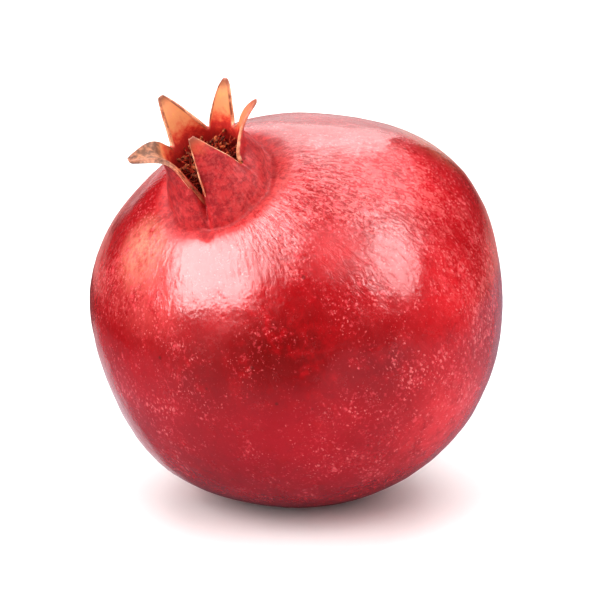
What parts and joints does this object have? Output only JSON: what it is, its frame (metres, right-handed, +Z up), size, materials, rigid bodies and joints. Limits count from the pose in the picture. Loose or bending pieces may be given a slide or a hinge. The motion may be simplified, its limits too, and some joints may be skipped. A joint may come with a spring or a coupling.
{
  "type": "pomegranate",
  "caption": "Whole ripe pomegranate lying on a small flat spot, with its lobed crown open over a tuft of dried stamens.",
  "frame": {"origin": "middle of the small flat spot that the fruit rests on", "axes": "+Z up from the surface it rests on; +X to the right and +Y away as seen in the picture, so the crown leans towards -X, -Y and +Z"},
  "size_m": [0.0925, 0.0905, 0.099],
  "materials": {
    "rind": "glossy leathery rind, deep red with pale speckles, paler and orange inside the crown's lobes",
    "stamens": "dry, matt, dark brown to tan",
    "stem": "dry woody stalk, rough, cut across"
  },
  "bodies": {
    "root": {"fruit": "rind", "stamens": "stamens", "stem_stub": "stem"}
  },
  "joints": []
}
